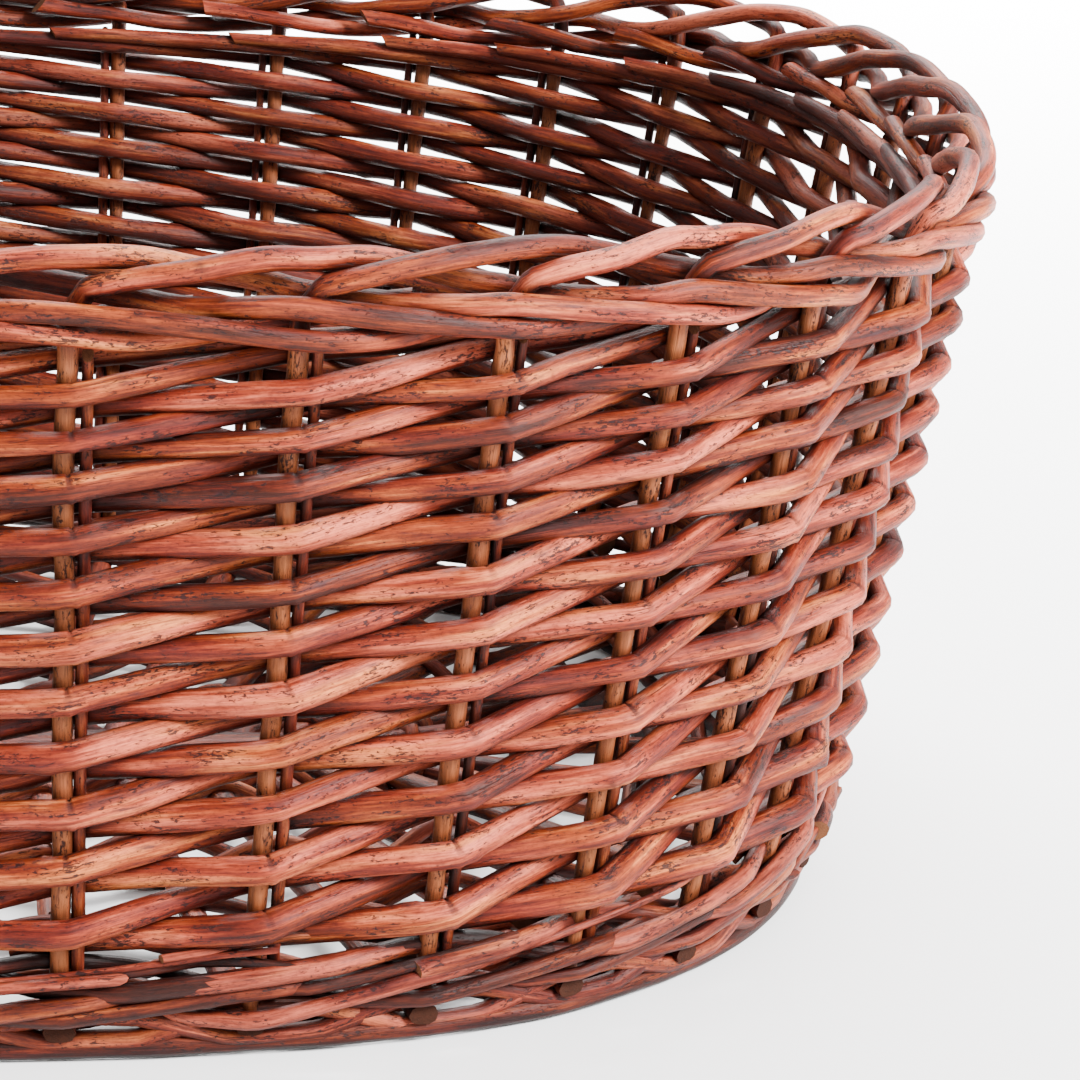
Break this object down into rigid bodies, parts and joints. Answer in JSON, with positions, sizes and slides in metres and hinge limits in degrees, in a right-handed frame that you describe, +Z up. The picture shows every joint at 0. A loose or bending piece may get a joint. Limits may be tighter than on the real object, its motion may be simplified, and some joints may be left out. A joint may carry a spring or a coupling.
{
  "type": "log basket",
  "caption": "Oval willow basket with flared open-weave sides, upright stakes in pairs, a thick rolled border and a flat stick-and-weave base.",
  "frame": {"origin": "middle of the underside, on the surface the basket stands on", "axes": "+Z up, +X along the oval's long side, +Y across it"},
  "size_m": [0.6226, 0.516, 0.2275],
  "materials": {
    "willow_stake": "stained willow rod, lighter ochre, semi-matt",
    "willow_weave": "stained red-brown willow rod with dark specks, semi-matt",
    "willow_border": "stained red-brown willow rod, slightly glossy",
    "willow_base": "stained brown willow rod, rough, dark cut ends"
  },
  "bodies": {
    "root": {"stake_01": "willow_stake", "stake_02": "willow_stake", "stake_03": "willow_stake", "stake_04": "willow_stake", "stake_05": "willow_stake", "stake_06": "willow_stake", "stake_07": "willow_stake", "stake_08": "willow_stake", "stake_09": "willow_stake", "stake_10": "willow_stake", "stake_11": "willow_stake", "stake_12": "willow_stake", "stake_13": "willow_stake", "stake_14": "willow_stake", "stake_15": "willow_stake", "stake_16": "willow_stake", "stake_17": "willow_stake", "stake_18": "willow_stake", "stake_19": "willow_stake", "stake_20": "willow_stake", "stake_21": "willow_stake", "stake_22": "willow_stake", "stake_23": "willow_stake", "stake_24": "willow_stake", "stake_25": "willow_stake", "stake_26": "willow_stake", "stake_27": "willow_stake", "stake_28": "willow_stake", "stake_29": "willow_stake", "stake_30": "willow_stake", "stake_31": "willow_stake", "stake_32": "willow_stake", "stake_33": "willow_stake", "stake_34": "willow_stake", "weave_round_01": "willow_weave", "weave_round_02": "willow_weave", "weave_round_03": "willow_weave", "weave_round_04": "willow_weave", "weave_round_05": "willow_weave", "weave_round_06": "willow_weave", "weave_round_07": "willow_weave", "weave_round_08": "willow_weave", "weave_round_09": "willow_weave", "weave_round_10": "willow_weave", "weave_round_11": "willow_weave", "upsett_band": "willow_weave", "border_lower": "willow_border", "border_upper": "willow_border", "border_ridge": "willow_border", "base_edge": "willow_base", "base_floor": "willow_base", "base_stick_long_1": "willow_base", "base_stick_long_2": "willow_base", "base_stick_long_3": "willow_base", "base_stick_cross_1": "willow_base", "base_stick_cross_2": "willow_base", "base_stick_cross_3": "willow_base", "base_stick_cross_4": "willow_base"}
  },
  "joints": []
}
